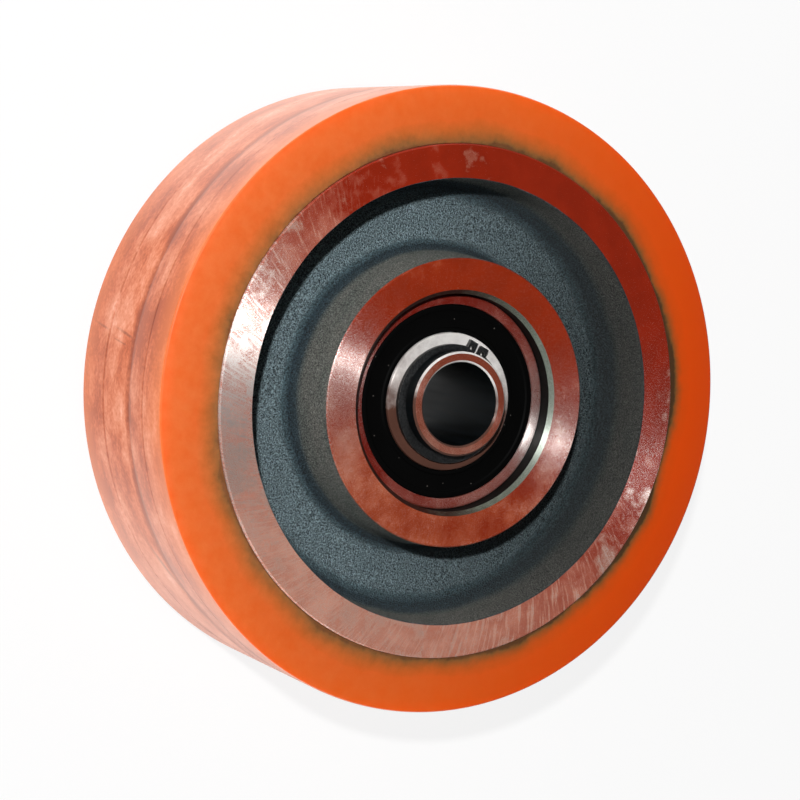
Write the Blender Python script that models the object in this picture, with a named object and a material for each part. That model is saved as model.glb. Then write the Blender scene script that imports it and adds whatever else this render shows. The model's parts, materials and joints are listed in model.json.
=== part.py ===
"""A pallet truck load wheel: a polyurethane tyre on a cast iron hub, which turns on two sealed
ball bearings round a steel axle sleeve. The wheel lies on its side, with its axis along +Z,
its front face up and its origin in the middle. Lengths are in metres."""

import math

import bmesh
import bpy
from mathutils import Matrix

# Tyre
TYRE_DIAMETER = 0.150
TYRE_THICKNESS = 0.0137  # from the tread in to the bond with the hub
TREAD_WIDTH = 0.049
TYRE_SIDE_RISE = 0.0013  # how far each side face stands out at the hub, past the tread's edge
TREAD_EDGE_RADIUS = 0.0007

# Hub
HUB_STAND_OUT = 0.0020  # how far the hub's faces stand out past the tread's edges
RIM_WALL = 0.008
WEB_THICKNESS = 0.020
BOSS_WALL = 0.0082  # round the bearing's seat
RIM_FILLET = 0.0065
BOSS_FILLET = 0.0045
FILLET_ROOM = 0.9  # the share of the web's floor that its two fillets may take
RIM_DRAFT = 0.0008  # how far the rim's inner wall leans in from its face to the web
BOSS_DRAFT = 0.0015  # how far the boss's wall leans out from its face to the web
RIM_EDGE_CHAMFER = 0.0005
BOSS_EDGE_CHAMFER = 0.0003
BOSS_BORE_CHAMFER = 0.0010
BEARING_RECESS = 0.0040  # how far each bearing lies below the hub's face
HUB_SHOULDER_HEIGHT = 0.0035  # of the rib inside the boss that keeps the two bearings apart

# Bearings
BEARING_DIAMETER = 0.052
BEARING_WIDTH = 0.015
BEARING_CHAMFER = 0.0009
BALL_COUNT = 9
RING_WALL = 0.00253  # behind the ball groove of each ring
SHOULDER_SHARE = 0.68  # radial space between the two rings' shoulders, in ball diameters
INNER_RING_CHAMFER = 0.0004
SEAL_THICKNESS = 0.0009
SEAL_RECESS = 0.0005  # how far a seal lies below the bearing's face
SEAL_POCKET_DEPTH = 0.0014
SEAL_BEAD_WIDTH = 0.0014
SEAL_LIP_WIDTH = 0.0009
SEAL_DISH = 0.0003  # the shallow hollow between a seal's bead and its lip
CAGE_SHARE = 0.3  # the cage's wall, in ball diameters
CAGE_ROOF = 0.00123  # the thickness of the cage's ring above the balls
CAGE_ARM = 0.0016  # how far the cage reaches past the balls' centres

# Axle sleeve and circlips
SLEEVE_BORE = 0.020
SLEEVE_WALL = 0.0025
SLEEVE_STAND_OUT = 0.0015  # how far the sleeve's ends stand out past the hub's faces
SLEEVE_END_CHAMFER = 0.0006
SLEEVE_BORE_CHAMFER = 0.0006
GROOVE_DEPTH = 0.00055
CIRCLIP_THICKNESS = 0.0012
CIRCLIP_WIDEST = 0.0025
CIRCLIP_NARROWEST = 0.0017
CIRCLIP_GAP = 0.0011  # straight across the opening, from lug to lug
LUG_HEIGHT = 0.0033
LUG_WIDTH = 0.0022
LUG_CORNER = 0.0004  # how far the outer corner of a lug is cut back
LUG_FLARE = 0.0005  # along the ring, where a lug runs out into it
LUG_HOLE_DIAMETER = 0.0011
FRONT_CIRCLIP_TURN = math.radians(164)
REAR_CIRCLIP_TURN = math.radians(20)

# Clearances
SEAT_GAP = 0.0003  # between two pieces that are pressed or cast together
RACE_CLEARANCE = 0.00025
CAGE_CLEARANCE = 0.0002
POCKET_CLEARANCE = 0.0004  # between a ball and its pocket in the cage
LIP_CLEARANCE = 0.0003
CIRCLIP_PLAY = 0.0002
CUTTER_OVERLAP = 0.001

# Facets
HUB_SIDES = 56
BEARING_SIDES = 36
BALL_SIDES = 10
BALL_RINGS = 6
FILLET_STEPS = 3
RACE_STEPS = 4
CIRCLIP_STEPS = 28
HOLE_SIDES = 10
SMOOTH_ANGLE = math.radians(35)

# Radii and heights that follow from the sizes above
tyre_radius = TYRE_DIAMETER / 2
bond_radius = tyre_radius - TYRE_THICKNESS
hub_face = TREAD_WIDTH / 2 + HUB_STAND_OUT
seat_radius = BEARING_DIAMETER / 2 + SEAT_GAP
boss_radius = seat_radius + BOSS_WALL
bearing_height = hub_face - BEARING_RECESS - BEARING_WIDTH / 2
shoulder_height = bearing_height - BEARING_WIDTH / 2 - SEAT_GAP
sleeve_radius = SLEEVE_BORE / 2 + SLEEVE_WALL
sleeve_end = hub_face + SLEEVE_STAND_OUT
ring_bore_radius = sleeve_radius + SEAT_GAP
pitch_radius = (sleeve_radius + BEARING_DIAMETER / 2) / 2
seal_top = BEARING_WIDTH / 2 - SEAL_RECESS
seal_bottom = seal_top - SEAL_THICKNESS
pocket_floor = seal_bottom - SEAT_GAP
cage_top = pocket_floor - CAGE_CLEARANCE
room_between_rings = (BEARING_DIAMETER / 2 - sleeve_radius) / 2 - RING_WALL - RACE_CLEARANCE
room_below_seal = cage_top - CAGE_ROOF - POCKET_CLEARANCE
ball_radius = min(room_between_rings, room_below_seal)
race_radius = ball_radius + RACE_CLEARANCE
inner_shoulder_radius = pitch_radius - SHOULDER_SHARE * ball_radius
outer_shoulder_radius = pitch_radius + SHOULDER_SHARE * ball_radius
pocket_radius = outer_shoulder_radius + SEAL_POCKET_DEPTH
groove_radius = sleeve_radius - GROOVE_DEPTH
groove_bottom = bearing_height + BEARING_WIDTH / 2
groove_top = groove_bottom + CIRCLIP_THICKNESS + 2 * CIRCLIP_PLAY
circlip_bore_radius = groove_radius + CIRCLIP_PLAY


def clear_scene():
    for thing in list(bpy.data.objects):
        bpy.data.objects.remove(thing, do_unlink=True)


def linear(channel):
    """One sRGB channel, 0 to 1, as linear light."""
    return channel / 12.92 if channel <= 0.04045 else ((channel + 0.055) / 1.055) ** 2.4


def make_material(name, colour, roughness, metallic=0.0):
    """A Principled material of an sRGB colour such as E8622A."""
    material = bpy.data.materials.new(name)
    material.use_nodes = True
    shader = material.node_tree.nodes["Principled BSDF"]
    channels = [linear(int(colour[i : i + 2], 16) / 255) for i in (0, 2, 4)]
    shader.inputs["Base Color"].default_value = (*channels, 1.0)
    shader.inputs["Roughness"].default_value = roughness
    shader.inputs["Metallic"].default_value = metallic
    material.diffuse_color = (*channels, 1.0)
    return material


def make_frame(name, height=0.0, turned_over=False):
    """An empty on the wheel's axis, which carries the pieces of one moving body or bearing."""
    frame = bpy.data.objects.new(name, None)
    frame.empty_display_size = 0.01
    bpy.context.scene.collection.objects.link(frame)
    frame.location.z = height
    frame.rotation_euler.x = math.pi if turned_over else 0.0
    return frame


def add_piece(name, bm, material, parent, smooth=True):
    """Turns a finished bmesh into a named object under its frame."""
    bmesh.ops.recalc_face_normals(bm, faces=bm.faces)
    mesh = bpy.data.meshes.new(name)
    bm.to_mesh(mesh)
    bm.free()
    mesh.materials.append(material)
    if smooth:
        mesh.shade_smooth()
        mesh.set_sharp_from_angle(angle=SMOOTH_ANGLE)
    piece = bpy.data.objects.new(name, mesh)
    bpy.context.scene.collection.objects.link(piece)
    piece.parent = parent
    return piece


def rounded(corners, steps=FILLET_STEPS):
    """An outline from (radius, height, fillet) corners, each fillet drawn as an arc."""
    points = []
    for i, (x, z, fillet) in enumerate(corners):
        if not fillet:
            points.append((x, z))
            continue
        before, after = corners[i - 1], corners[(i + 1) % len(corners)]
        to_before = math.atan2(before[1] - z, before[0] - x)
        to_after = math.atan2(after[1] - z, after[0] - x)
        opening = (to_after - to_before + math.pi) % (2 * math.pi) - math.pi
        middle = to_before + opening / 2
        reach = fillet / abs(math.sin(opening / 2))
        centre = (x + reach * math.cos(middle), z + reach * math.sin(middle))
        half_turn = (math.pi - abs(opening)) / 2 * math.copysign(1, opening)
        for step in range(steps + 1):
            angle = middle + math.pi + half_turn * (1 - 2 * step / steps)
            points.append(
                (centre[0] + fillet * math.cos(angle), centre[1] + fillet * math.sin(angle))
            )
    return points


def with_mirror(half):
    """A whole section from the points of its upper half, none of them on the mid-plane."""
    return half + [(x, -z) for x, z in reversed(half)]


def turned(outline, sides):
    """A ring-shaped solid: a closed outline of (radius, height) points spun round the Z axis."""
    bm = bmesh.new()
    verts = [bm.verts.new((x, 0.0, z)) for x, z in outline]
    edges = [bm.edges.new((verts[i - 1], verts[i])) for i in range(len(verts))]
    bmesh.ops.spin(
        bm,
        geom=verts + edges,
        cent=(0.0, 0.0, 0.0),
        axis=(0.0, 0.0, 1.0),
        angle=2 * math.pi,
        steps=sides,
        use_merge=True,
    )
    return bm


def make_tyre(material, parent):
    bore = bond_radius + SEAT_GAP
    edge_height = TREAD_WIDTH / 2
    half = rounded(
        [
            (tyre_radius, 0.0, 0.0),
            (tyre_radius, edge_height, TREAD_EDGE_RADIUS),
            (bore, edge_height + TYRE_SIDE_RISE, 0.0),
            (bore, 0.0, 0.0),
        ]
    )
    above = half[1:-1]  # the corners on the mid-plane only give the side walls their direction
    section = with_mirror(above)
    add_piece("tyre", turned(section, HUB_SIDES), material, parent)


def make_hub(material, parent):
    rim_inside = bond_radius - RIM_WALL
    rim_foot = rim_inside - RIM_DRAFT
    boss_foot = boss_radius + BOSS_DRAFT
    web = WEB_THICKNESS / 2
    floor_share = FILLET_ROOM * (rim_foot - boss_foot) / (RIM_FILLET + BOSS_FILLET)
    fillet_share = min(1.0, floor_share)
    half = rounded(
        [
            (bond_radius, 0.0, 0.0),
            (bond_radius, hub_face - RIM_EDGE_CHAMFER, 0.0),
            (bond_radius - RIM_EDGE_CHAMFER, hub_face, 0.0),
            (rim_inside, hub_face, 0.0),
            (rim_foot, web, RIM_FILLET * fillet_share),
            (boss_foot, web, BOSS_FILLET * fillet_share),
            (boss_radius, hub_face - BOSS_EDGE_CHAMFER, 0.0),
            (boss_radius - BOSS_EDGE_CHAMFER, hub_face, 0.0),
            (seat_radius + BOSS_BORE_CHAMFER, hub_face, 0.0),
            (seat_radius, hub_face - BOSS_BORE_CHAMFER, 0.0),
            (seat_radius, shoulder_height, 0.0),
            (seat_radius - HUB_SHOULDER_HEIGHT, shoulder_height, 0.0),
            (seat_radius - HUB_SHOULDER_HEIGHT, 0.0, 0.0),
        ]
    )
    above = half[1:-1]
    section = with_mirror(above)
    add_piece("hub", turned(section, HUB_SIDES), material, parent)


def race_arc(shoulder_radius):
    """The ball groove's points from its upper to its lower edge, on the shoulder of that radius."""
    side = 1 if shoulder_radius > pitch_radius else -1
    half_angle = math.acos(abs(shoulder_radius - pitch_radius) / race_radius)
    angles = [half_angle * (1 - 2 * step / RACE_STEPS) for step in range(RACE_STEPS + 1)]
    return [
        (pitch_radius + side * race_radius * math.cos(a), race_radius * math.sin(a))
        for a in angles
    ]


def make_outer_ring(name, material, parent):
    outside = BEARING_DIAMETER / 2
    face = BEARING_WIDTH / 2
    upper = [
        (outside, face - BEARING_CHAMFER),
        (outside - BEARING_CHAMFER, face),
        (pocket_radius, face),
        (pocket_radius, pocket_floor),
        (outer_shoulder_radius, pocket_floor),
    ]
    lower = [(x, -z) for x, z in reversed(upper)]
    section = upper + race_arc(outer_shoulder_radius) + lower
    add_piece(name, turned(section, BEARING_SIDES), material, parent)


def make_inner_ring(name, material, parent):
    face = BEARING_WIDTH / 2
    upper = [
        (ring_bore_radius, face - INNER_RING_CHAMFER),
        (ring_bore_radius + INNER_RING_CHAMFER, face),
        (inner_shoulder_radius - INNER_RING_CHAMFER, face),
        (inner_shoulder_radius, face - INNER_RING_CHAMFER),
    ]
    lower = [(x, -z) for x, z in reversed(upper)]
    section = upper + race_arc(inner_shoulder_radius) + lower
    add_piece(name, turned(section, BEARING_SIDES), material, parent)


def make_seal(name, material, parent, side):
    """A rubber-covered disc in the outer ring's pocket. side is 1 for the upper one, -1 below."""
    bead = pocket_radius - SEAT_GAP
    lip = inner_shoulder_radius + LIP_CLEARANCE
    dish_outside = bead - SEAL_BEAD_WIDTH
    dish_inside = lip + SEAL_LIP_WIDTH
    section = [
        (bead, seal_bottom),
        (bead, seal_top),
        (dish_outside, seal_top),
        (dish_outside - SEAL_DISH, seal_top - SEAL_DISH),
        (dish_inside + SEAL_DISH, seal_top - SEAL_DISH),
        (dish_inside, seal_top),
        (lip, seal_top),
        (lip, seal_bottom),
    ]
    placed = [(x, z * side) for x, z in section]
    add_piece(name, turned(placed, BEARING_SIDES), material, parent)


def ball_angles():
    return [2 * math.pi * i / BALL_COUNT for i in range(BALL_COUNT)]


def ball_place(angle):
    return Matrix.Translation((pitch_radius * math.cos(angle), pitch_radius * math.sin(angle), 0.0))


def make_ball_mesh(material):
    bm = bmesh.new()
    bmesh.ops.create_uvsphere(
        bm, u_segments=BALL_SIDES, v_segments=BALL_RINGS, radius=ball_radius
    )
    mesh = bpy.data.meshes.new("ball")
    bm.to_mesh(mesh)
    bm.free()
    mesh.materials.append(material)
    mesh.shade_smooth()
    return mesh


def make_balls(prefix, mesh, parent):
    for number, angle in enumerate(ball_angles(), start=1):
        ball = bpy.data.objects.new(f"{prefix}_ball_{number}", mesh)
        bpy.context.scene.collection.objects.link(ball)
        ball.parent = parent
        ball.location = ball_place(angle).translation


def make_cutter(name, bm, parent):
    """A helper mesh that a Boolean takes away and that is never shown."""
    bmesh.ops.recalc_face_normals(bm, faces=bm.faces)
    mesh = bpy.data.meshes.new(name)
    bm.to_mesh(mesh)
    bm.free()
    cutter = bpy.data.objects.new(name, mesh)
    bpy.context.scene.collection.objects.link(cutter)
    cutter.parent = parent
    cutter.hide_render = True
    cutter.display_type = "WIRE"
    return cutter


def cut_away(piece, cutter):
    modifier = piece.modifiers.new("cut", "BOOLEAN")
    modifier.operation = "DIFFERENCE"
    modifier.solver = "EXACT"
    modifier.object = cutter


def make_cage(name, material, parent):
    """A snap cage: one moulded ring above the balls, with arms that reach down between them."""
    outside = pitch_radius + CAGE_SHARE * ball_radius
    inside = pitch_radius - CAGE_SHARE * ball_radius
    section = [(outside, -CAGE_ARM), (outside, cage_top), (inside, cage_top), (inside, -CAGE_ARM)]
    cage = add_piece(name, turned(section, BEARING_SIDES), material, parent)
    pockets = bmesh.new()
    for angle in ball_angles():
        bmesh.ops.create_uvsphere(
            pockets,
            u_segments=BALL_SIDES,
            v_segments=BALL_RINGS + 1,
            radius=ball_radius + POCKET_CLEARANCE,
            matrix=ball_place(angle),
        )
    cut_away(cage, make_cutter(name + "_pockets", pockets, parent))


def make_bearing(place, wheel, axle, ball_set, materials):
    """All the pieces of one bearing. The three frames are those of its turning and still parts."""
    make_outer_ring(f"{place}_bearing_outer_ring", materials["bearing steel"], wheel)
    make_inner_ring(f"{place}_bearing_inner_ring", materials["bearing steel"], axle)
    make_seal(f"{place}_bearing_outside_seal", materials["nitrile rubber"], wheel, 1)
    make_seal(f"{place}_bearing_inside_seal", materials["nitrile rubber"], wheel, -1)
    make_cage(f"{place}_bearing_cage", materials["polyamide"], ball_set)
    make_balls(f"{place}_bearing", materials["ball mesh"], ball_set)


def make_sleeve(material, parent):
    bore = SLEEVE_BORE / 2
    half = [
        (sleeve_radius, groove_bottom),
        (groove_radius, groove_bottom),
        (groove_radius, groove_top),
        (sleeve_radius, groove_top),
        (sleeve_radius, sleeve_end - SLEEVE_END_CHAMFER),
        (sleeve_radius - SLEEVE_END_CHAMFER, sleeve_end),
        (bore + SLEEVE_BORE_CHAMFER, sleeve_end),
        (bore, sleeve_end - SLEEVE_BORE_CHAMFER),
    ]
    section = with_mirror(half)
    add_piece("axle_sleeve", turned(section, BEARING_SIDES), material, parent)


def circlip_outside(angle):
    """The circlip's outer radius, which narrows from the side opposite the gap, at angle pi."""
    share = (1 - math.cos(angle)) / 2
    return circlip_bore_radius + CIRCLIP_NARROWEST + (CIRCLIP_WIDEST - CIRCLIP_NARROWEST) * share


def circlip_outline():
    """The ring with its two lugs, as (x, y) points, with the gap at +X."""
    start = math.asin(CIRCLIP_GAP / 2 / circlip_bore_radius)
    lug_radius = circlip_bore_radius + LUG_HEIGHT
    lug_start = math.asin(CIRCLIP_GAP / 2 / lug_radius)
    lug_end = math.asin((CIRCLIP_GAP / 2 + LUG_WIDTH) / lug_radius)
    ring_start = lug_end + LUG_FLARE / lug_radius
    lug = [(lug_radius, lug_start), (lug_radius, (lug_start + lug_end) / 2)]
    lug += [(lug_radius - LUG_CORNER, lug_end)]
    span = 2 * (math.pi - ring_start)
    ring_angles = [ring_start + span * i / CIRCLIP_STEPS for i in range(CIRCLIP_STEPS + 1)]
    outer = [(circlip_outside(a), a) for a in ring_angles]
    other_lug = [(radius, -angle) for radius, angle in reversed(lug)]
    bore_span = 2 * (math.pi - start)
    bore_angles = [-start - bore_span * i / CIRCLIP_STEPS for i in range(CIRCLIP_STEPS + 1)]
    bore = [(circlip_bore_radius, a) for a in bore_angles]
    polar = lug + outer + other_lug + bore
    return [(radius * math.cos(angle), radius * math.sin(angle)) for radius, angle in polar]


def make_circlip(name, material, parent, turn):
    """A circlip in the sleeve's groove, above the inner ring of the bearing."""
    bottom = groove_bottom - bearing_height + CIRCLIP_PLAY
    bm = bmesh.new()
    face = bm.faces.new([bm.verts.new((x, y, bottom)) for x, y in circlip_outline()])
    raised = bmesh.ops.extrude_face_region(bm, geom=[face])["geom"]
    top_verts = [item for item in raised if isinstance(item, bmesh.types.BMVert)]
    bmesh.ops.translate(bm, verts=top_verts, vec=(0.0, 0.0, CIRCLIP_THICKNESS))
    circlip = add_piece(name, bm, material, parent, smooth=False)
    circlip.rotation_euler.z = turn
    holes = bmesh.new()
    hole_radius = circlip_bore_radius + LUG_HEIGHT / 2
    for side in (-1, 1):
        angle = side * math.asin((CIRCLIP_GAP + LUG_WIDTH) / 2 / hole_radius)
        place = (
            hole_radius * math.cos(angle),
            hole_radius * math.sin(angle),
            bottom + CIRCLIP_THICKNESS / 2,
        )
        bmesh.ops.create_cone(
            holes,
            cap_ends=True,
            segments=HOLE_SIDES,
            radius1=LUG_HOLE_DIAMETER / 2,
            radius2=LUG_HOLE_DIAMETER / 2,
            depth=CIRCLIP_THICKNESS + 2 * CUTTER_OVERLAP,
            matrix=Matrix.Translation(place),
        )
    cut_away(circlip, make_cutter(name + "_holes", holes, circlip))


def main():
    clear_scene()
    materials = {
        "polyurethane": make_material("polyurethane", "F06A2C", 0.35),
        "painted iron": make_material("painted iron", "566068", 0.55, 0.2),
        "bearing steel": make_material("bearing steel", "B8B4B0", 0.2, 1.0),
        "nitrile rubber": make_material("nitrile rubber", "0C0B0D", 0.6),
        "polyamide": make_material("polyamide", "C9BFA4", 0.5),
        "sleeve steel": make_material("sleeve steel", "A08C84", 0.25, 1.0),
        "spring steel": make_material("spring steel", "2C2D2F", 0.4, 0.8),
    }
    materials["ball mesh"] = make_ball_mesh(materials["bearing steel"])
    axle = make_frame("axle")
    wheel = make_frame("wheel")
    make_tyre(materials["polyurethane"], wheel)
    make_hub(materials["painted iron"], wheel)
    make_sleeve(materials["sleeve steel"], axle)
    for place, side, turn in (
        ("front", 1, FRONT_CIRCLIP_TURN),
        ("rear", -1, REAR_CIRCLIP_TURN),
    ):
        over = side < 0
        still = make_frame(f"{place}_bearing_still", side * bearing_height, over)
        turning = make_frame(f"{place}_bearing_turning", side * bearing_height, over)
        ball_set = make_frame(f"{place}_ball_set", side * bearing_height, over)
        still.parent = axle
        turning.parent = wheel
        ball_set.parent = axle
        make_bearing(place, turning, still, ball_set, materials)
        make_circlip(f"{place}_circlip", materials["spring steel"], still, turn)


main()
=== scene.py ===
# %% [markdown]
# A pallet truck load wheel, dressed for its portrait.
# The wheel lies on its side with its axis along Z. Its solids are already packed as a fixed
# frame, which says where each piece is. This lesson models a finer skin over each solid,
# mixes the finishes, and lights the wheel as a small studio would.
# The frame is loaded first, because the main sizes are measured on it.

# %% Load the frame
import json
import math
from functools import partial

import bmesh
import bpy
from mathutils import Matrix, Vector

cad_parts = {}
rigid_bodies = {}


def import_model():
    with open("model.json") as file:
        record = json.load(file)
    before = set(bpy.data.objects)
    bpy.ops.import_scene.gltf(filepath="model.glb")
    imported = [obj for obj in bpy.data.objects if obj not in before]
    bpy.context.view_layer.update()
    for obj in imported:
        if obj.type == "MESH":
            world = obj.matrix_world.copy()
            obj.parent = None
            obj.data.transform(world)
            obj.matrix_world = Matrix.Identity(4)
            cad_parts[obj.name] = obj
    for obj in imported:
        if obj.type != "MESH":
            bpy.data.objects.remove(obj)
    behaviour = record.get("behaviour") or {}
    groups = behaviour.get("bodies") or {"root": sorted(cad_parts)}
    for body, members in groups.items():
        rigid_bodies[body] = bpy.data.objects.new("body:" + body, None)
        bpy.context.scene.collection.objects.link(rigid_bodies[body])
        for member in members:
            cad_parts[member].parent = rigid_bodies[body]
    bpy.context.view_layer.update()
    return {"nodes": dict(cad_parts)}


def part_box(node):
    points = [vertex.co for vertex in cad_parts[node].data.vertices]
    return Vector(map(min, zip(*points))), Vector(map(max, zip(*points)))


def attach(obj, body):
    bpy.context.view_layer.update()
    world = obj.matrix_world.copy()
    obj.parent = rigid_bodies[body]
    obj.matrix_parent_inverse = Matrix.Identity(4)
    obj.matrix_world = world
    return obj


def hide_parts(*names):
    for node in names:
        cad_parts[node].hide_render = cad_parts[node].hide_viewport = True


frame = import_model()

print("solids:", len(frame["nodes"]))

# %% [markdown]
# Sizes. Blender counts in metres and a machinist in millimetres, so one constant turns one
# into the other. What the frame can tell is measured on it, and the rest of a section, such
# as a fillet, is named where its piece is made.

# %% Measure the frame
MM = 0.001
HAIRLINE = 0.04 * MM  # what is left to see between two pieces that are pressed together


def radius_of(node):
    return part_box(node)[1].x


def heights_of(node):
    low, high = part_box(node)
    return low.z, high.z


tyre_radius = radius_of("tyre")
bond_radius = radius_of("hub")
ring_radius = radius_of("front_bearing_outer_ring")
sleeve_radius = radius_of("axle_sleeve")
hub_face = heights_of("hub")[1]
floor_height, sleeve_end = heights_of("axle_sleeve")
bearing_bottom, bearing_top = heights_of("front_bearing_outer_ring")
bearing_middle = (bearing_bottom + bearing_top) / 2
print("tyre radius", round(tyre_radius / MM, 1), "mm, bond", round(bond_radius / MM, 1), "mm")

# %% [markdown]
# The camera. Circles on the wheel's front show as ellipses in the photograph. Their shapes
# give the angle between the line of sight and the axis, and how far the tyre's far edge
# shrinks gives the distance. A camera that looks straight down is tilted by that angle, then
# rolled, because the photographer stood the wheel on its tread and looked at it from the side.

# %% Place the camera
PHOTO_SIDE = 800  # pixels
FOCAL_LENGTH = 2300  # pixels
SENSOR_WIDTH = 36  # millimetres
AXIS_IN_PHOTO = (453.1, 402.6)  # where the axis meets the plane of the tyre's front edge
AXIS_DEPTH = 547.2 * MM  # how far in front of the camera that point lies
FRONT_EDGE_BELOW_SIDE = 1.3 * MM  # the tread's edge lies this much below the tyre's highest line
TILT = math.radians(28.75)
ROLL = math.radians(90 + 12.44)

camera_turn = Matrix.Rotation(TILT, 4, "X") @ Matrix.Rotation(ROLL, 4, "Z")
right, down = [(pixel - PHOTO_SIDE / 2) / FOCAL_LENGTH for pixel in AXIS_IN_PHOTO]
sight = Vector((right, -down, -1.0)) * AXIS_DEPTH
seen_point = Vector((0, 0, heights_of("tyre")[1] - FRONT_EDGE_BELOW_SIDE))

bpy.ops.object.camera_add()
camera = bpy.context.object
camera.name = "camera"
camera.matrix_world = Matrix.Translation(seen_point - camera_turn.to_3x3() @ sight) @ camera_turn
camera.data.sensor_width = SENSOR_WIDTH
camera.data.lens = FOCAL_LENGTH / PHOTO_SIDE * SENSOR_WIDTH
camera.data.clip_start = 0.01
bpy.context.scene.camera = camera
bpy.context.scene.view_settings.view_transform = "Standard"
print("camera at", [round(c, 3) for c in camera.location], "lens", round(camera.data.lens, 1), "mm")

# %% [markdown]
# Colours are written as sRGB hex values, as a paint chart gives them. Shaders work in linear
# light, so one function turns one into the other. Two more build every material: one fills a
# node's inputs, and one adds a node with its settings. Inputs come by name, or as a list in
# the order in which the node shows them. For the nodes used most, that order is: for a noise
# the place, scale, detail and roughness; for MapRange the value, the range it comes from and
# the range it goes to; for Mix the share and two colours; for Math its numbers, with the
# operation after them. A node given as a value is linked by its main output.

# %% Colours and shader nodes
def linear(hex_colour):
    channels = [int(hex_colour[i : i + 2], 16) / 255 for i in (0, 2, 4)]
    light = [c / 12.92 if c <= 0.04045 else ((c + 0.055) / 1.055) ** 2.4 for c in channels]
    return (*light, 1.0)


def feed(node, inputs):
    """Fills inputs, by name or in order, with numbers, hex colours, outputs or nodes."""
    sockets = [s for s in node.inputs if s.enabled]
    if isinstance(inputs, dict):
        named = {s.name: s for s in sockets}
        sockets = [named[name] for name in inputs]
        inputs = inputs.values()
    for socket, value in zip(sockets, inputs):
        if isinstance(value, bpy.types.Node):
            value = next(s for s in value.outputs if s.enabled)
        if isinstance(value, bpy.types.NodeSocket):
            node.id_data.links.new(value, socket)
        else:
            socket.default_value = linear(value) if isinstance(value, str) else value


def add_node(tree, kind, inputs=(), operation=None, stops=(), **settings):
    """Adds one node. Stops fill a ramp, with hex colours or with plain levels of grey."""
    node = tree.nodes.new("ShaderNode" + kind)
    if operation:
        node.operation = operation
    for name, value in settings.items():
        setattr(node, name, value)
    feed(node, inputs)
    for i, (position, tint) in enumerate(stops):
        ramp = node.color_ramp.elements
        element = ramp[i] if i < 2 else ramp.new(position)
        element.position = position
        element.color = linear(tint) if isinstance(tint, str) else (tint, tint, tint, 1.0)
    return node


def new_material(name):
    """A material, its shader, the place of the point to shade, and add_node for its own tree."""
    material = bpy.data.materials.new(name)
    material.use_nodes = True
    add = partial(add_node, material.node_tree)
    place = add("TexCoord").outputs["Object"]
    return material, material.node_tree.nodes["Principled BSDF"], place, add


print("orange is", [round(c, 3) for c in linear("FF6A24")])

# %% [markdown]
# The floor and the room. The photograph has a plain white background. The floor is a white
# sheet that catches the wheel's shadow. To the camera, and in reflections, it also glows, so
# that it stays white without flooding the wheel with light. The glow is full away from the
# wheel, where the lamps don't reach, and weaker near it, where the shadow falls.

# %% Lay the floor
FLOOR_SIDE = 12.0
FLOOR_GLOW = 0.87  # near the wheel
SHADOW_REACH = (0.2, 0.6)  # where the weaker glow ends and the full one starts


def viewing_rays(add):
    """1 for the rays that show a thing to a viewer, straight, mirrored or through, and else 0."""
    rays = add("LightPath").outputs
    seen = add("Math", [rays["Is Camera Ray"], rays["Is Glossy Ray"]], "MAXIMUM")
    return add("Math", [seen, rays["Is Transmission Ray"]], "MAXIMUM")


bpy.ops.object.select_all(action="DESELECT")
bpy.ops.mesh.primitive_plane_add(size=FLOOR_SIDE, location=(0, 0, floor_height - HAIRLINE))
floor = bpy.context.object
floor.name = "studio_floor"

floor_paper, shader, place, add = new_material("white paper floor")
feed(shader, {"Base Color": "F4F4F4", "Roughness": 0.9})
away = add("VectorMath", [place], "LENGTH")
glow_here = add("MapRange", [away, *SHADOW_REACH, FLOOR_GLOW, 1.0])
glow_share = add("Math", [viewing_rays(add), glow_here], "MULTIPLY")
glow = add("Emission", {"Color": "FFFFFF", "Strength": 1.0})
sheet = add("MixShader", [glow_share, shader, glow])
feed(floor_paper.node_tree.nodes["Material Output"], {"Surface": sheet})
floor.data.materials.append(floor_paper)
print("floor at", round(floor_height / MM, 1), "mm")

# %% [markdown]
# The room has pale walls and a dim ceiling. Ground metal shows the room that it faces, and the
# flat faces of this wheel face the ceiling, which keeps their reflections deep in the
# photograph. Camera and glossy rays see the room as it is. For all other rays it is turned
# down, because the lamps do the lighting.

# %% Light the room
ROOM_LIGHT = 0.1
CEILING = 0.06
WALL_TOP = 0.3  # the height on the sky's sphere where the pale wall starts to dim
CEILING_EDGE = 0.75

room = bpy.data.worlds.new("studio room")
bpy.context.scene.world = room
room.use_nodes = True
add = partial(add_node, room.node_tree)
upward = add("SeparateXYZ", [add("TexCoord").outputs["Generated"]]).outputs["Z"]
wall = add("MapRange", [upward, WALL_TOP, CEILING_EDGE, 1.0, CEILING])
share = add("MapRange", [viewing_rays(add), 0, 1, ROOM_LIGHT, 1.0])
strength = add("Math", [share, wall], "MULTIPLY")
feed(room.node_tree.nodes["Background"], {"Color": "FFFFFF", "Strength": strength})
print("room light", ROOM_LIGHT, "ceiling", CEILING)

# %% [markdown]
# The lamps. The shadows in the photograph say where the light stood. The rim throws a narrow,
# sharp shadow inward along its upper left side, and the boss throws one outward below. So the
# main lamp is small and stands a little above the camera and to the left of it. A soft box by
# the left side of the picture fills the shadows a little, and two low strips beside the wheel
# light the tread without reaching its face.

# %% Set the lamps
def add_lamp(name, place, width, height, power):
    """An area lamp that faces the middle of the wheel. place is in metres from there."""
    bpy.ops.object.light_add(type="AREA", location=place)
    lamp = bpy.context.object
    lamp.name = name
    lamp.rotation_mode = "QUATERNION"
    lamp.rotation_quaternion = Vector(place).to_track_quat("Z", "Y")
    lamp.data.shape = "ELLIPSE" if width == height else "RECTANGLE"
    lamp.data.size = width
    lamp.data.size_y = height
    lamp.data.energy = power
    lamp.visible_camera = False


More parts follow.
